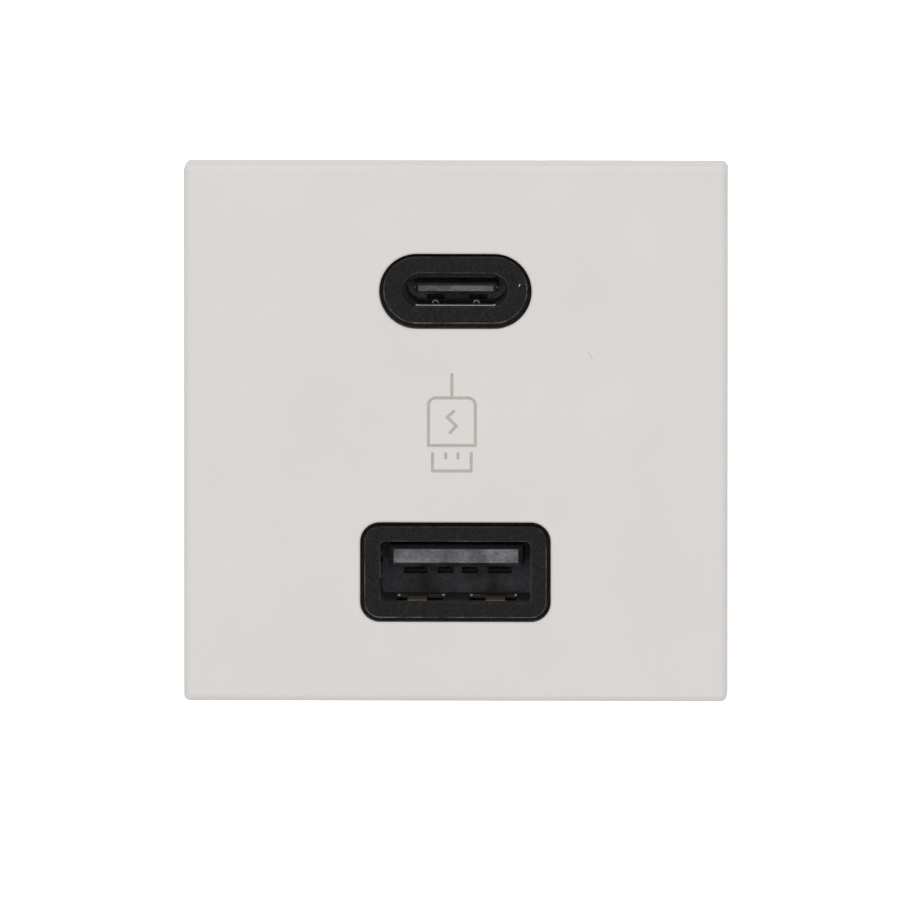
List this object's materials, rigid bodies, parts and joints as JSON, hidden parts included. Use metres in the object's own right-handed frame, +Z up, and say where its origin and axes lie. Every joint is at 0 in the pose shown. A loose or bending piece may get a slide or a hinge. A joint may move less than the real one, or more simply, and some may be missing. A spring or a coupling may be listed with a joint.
{
  "type": "usb wall socket",
  "caption": "Square snap-in wall socket module with a USB-C and a USB-A port in black collars, a black charger capsule behind and screw clamp terminals.",
  "frame": {"origin": "centre of the plane where the cover's rim rests on its mounting frame", "axes": "+X to the right of the face, +Y into the wall, +Z up"},
  "size_m": [0.045, 0.0348, 0.0446],
  "materials": {
    "cover": "fine moulded texture",
    "case": "fine moulded texture",
    "block": "satin moulding",
    "usb_plastic": "moulded, glass filled",
    "shell_steel": "dark plated sheet",
    "plate_steel": "dark plated sheet",
    "contact_gold": "gold plated",
    "board": "dark solder mask",
    "header": "moulded",
    "pin_tin": "tin plated",
    "screw_steel": "zinc plated",
    "terminal_steel": "zinc plated",
    "cage_brass": "plain brass",
    "bar_copper": "tinned copper alloy",
    "ferrite": "sintered",
    "bobbin": "moulded",
    "tape": "polyester tape",
    "copper_wire": "enamelled wire",
    "can": "sleeved can",
    "fuse": "moulded",
    "surge": "moulded box",
    "safety": "dipped coating",
    "chip": "moulded epoxy"
  },
  "bodies": {
    "module": {"front_cover": "cover", "case_front": "case", "case_rear": "case", "case_screws": "screw_steel", "usb_a_shell": "shell_steel", "usb_a_insulator": "usb_plastic", "usb_a_contacts": "contact_gold", "usb_c_shell": "shell_steel", "usb_c_insulator": "usb_plastic", "usb_c_mid_plate": "plate_steel", "usb_c_contacts": "contact_gold", "usb_board": "board", "main_board": "board", "link_header": "header", "link_pins": "pin_tin", "terminal_block": "block", "terminal_contact_left": "bar_copper", "terminal_contact_right": "bar_copper", "transformer_core": "ferrite", "transformer_bobbin": "bobbin", "transformer_winding": "tape", "input_capacitor_upper": "can", "input_capacitor_lower": "can", "output_capacitor_upper": "can", "output_capacitor_lower": "can", "filter_choke_core": "ferrite", "filter_choke_winding": "copper_wire", "fuse": "fuse", "surge_capacitor": "surge", "safety_capacitor": "safety", "bridge_rectifier": "chip", "switching_controller": "chip", "charge_controller": "chip", "buck_inductor": "ferrite"},
    "screw_left": {"terminal_screw_left": "terminal_steel"},
    "cage_left": {"terminal_cage_left": "cage_brass"},
    "screw_right": {"terminal_screw_right": "terminal_steel"},
    "cage_right": {"terminal_cage_right": "cage_brass"}
  },
  "joints": [
    {"name": "screw_left_turn", "type": "hinge", "parent": "module", "child": "screw_left", "pos_m": [-0.0042, 0.022, -0.016], "axis": [0, 0, 1], "range_deg": [0, 1730]},
    {"name": "cage_left_rise", "type": "slide", "parent": "module", "child": "cage_left", "axis": [0, 0, -1], "range_m": [0, 0.0024]},
    {"name": "screw_right_turn", "type": "hinge", "parent": "module", "child": "screw_right", "pos_m": [0.0042, 0.022, -0.016], "axis": [0, 0, 1], "range_deg": [0, 1730]},
    {"name": "cage_right_rise", "type": "slide", "parent": "module", "child": "cage_right", "axis": [0, 0, -1], "range_m": [0, 0.0024]}
  ],
  "couplings": [
    {"joint": "screw_left_turn", "follows": "cage_left_rise", "rad_per_m": 12566},
    {"joint": "screw_right_turn", "follows": "cage_right_rise", "rad_per_m": 12566}
  ]
}
